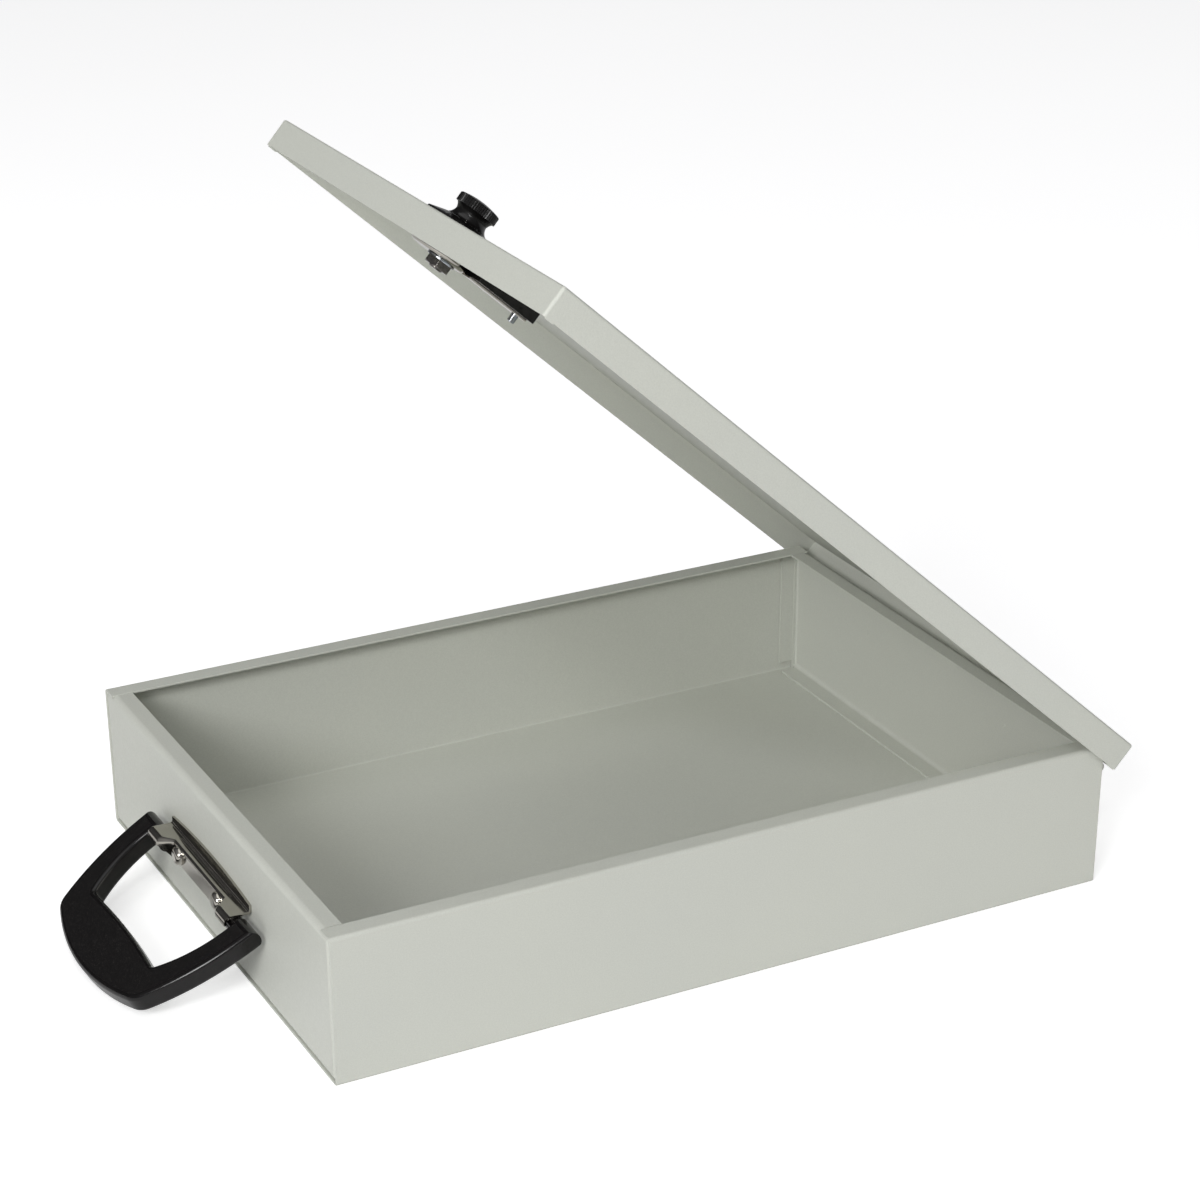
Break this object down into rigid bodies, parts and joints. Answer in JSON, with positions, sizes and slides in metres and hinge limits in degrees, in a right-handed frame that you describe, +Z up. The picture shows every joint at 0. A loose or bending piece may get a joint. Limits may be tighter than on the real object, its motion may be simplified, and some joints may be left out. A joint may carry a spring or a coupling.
{
  "type": "document box",
  "caption": "Shallow steel document box with an overlapping hinged lid, a turn-knob lock near the lid's front edge and a folding carrying handle.",
  "frame": {"origin": "middle of the tray's flat underside", "axes": "+X runs along the long side from the handle to the hinge, +Y across, +Z up; the lid is stored 42 degrees open and the handle hanging with its grip just over the surface that the box stands on"},
  "size_m": [0.4154, 0.253, 0.296],
  "materials": {
    "powder_coat": "fine-textured light grey-green powder coat",
    "nickel": "bright nickel plate on pressed steel",
    "zinc_steel": "bright zinc plate",
    "black_plastic": "satin black moulded plastic",
    "grip_plastic": "black moulded plastic, finely textured on the flat faces"
  },
  "bodies": {
    "tray": {"tray_shell": "powder_coat", "handle_wall": "powder_coat", "hinge_wall": "powder_coat", "hinge_tray_leaf": "powder_coat", "hinge_pin": "zinc_steel", "handle_bracket": "nickel", "bracket_rivets": "nickel"},
    "lid": {"lid_shell": "powder_coat", "hinge_lid_leaf": "powder_coat", "lock_rosette": "black_plastic", "lock_bush": "zinc_steel", "bush_nut": "zinc_steel", "spring_block": "black_plastic", "block_studs": "zinc_steel", "click_spring": "nickel"},
    "knob": {"knob": "black_plastic", "lock_spindle": "zinc_steel", "latch_cup": "nickel", "latch_washer": "zinc_steel", "latch_nut": "zinc_steel"},
    "handle": {"handle_grip": "grip_plastic", "handle_pins": "zinc_steel"}
  },
  "joints": [
    {"name": "lid_hinge", "type": "hinge", "parent": "tray", "child": "lid", "pos_m": [0.175, 0, 0.0508], "axis": [0, 1, 0], "range_deg": [-42, 138]},
    {"name": "knob_turn", "type": "hinge", "parent": "lid", "child": "knob", "pos_m": [-0.05611, 0, 0.27908], "axis": [0.6691, 0, 0.7431], "range_deg": [0, 90]},
    {"name": "handle_swing", "type": "hinge", "parent": "tray", "child": "handle", "pos_m": [-0.179, 0, 0.031], "axis": [0, 1, 0], "range_deg": [-59, 113]}
  ]
}
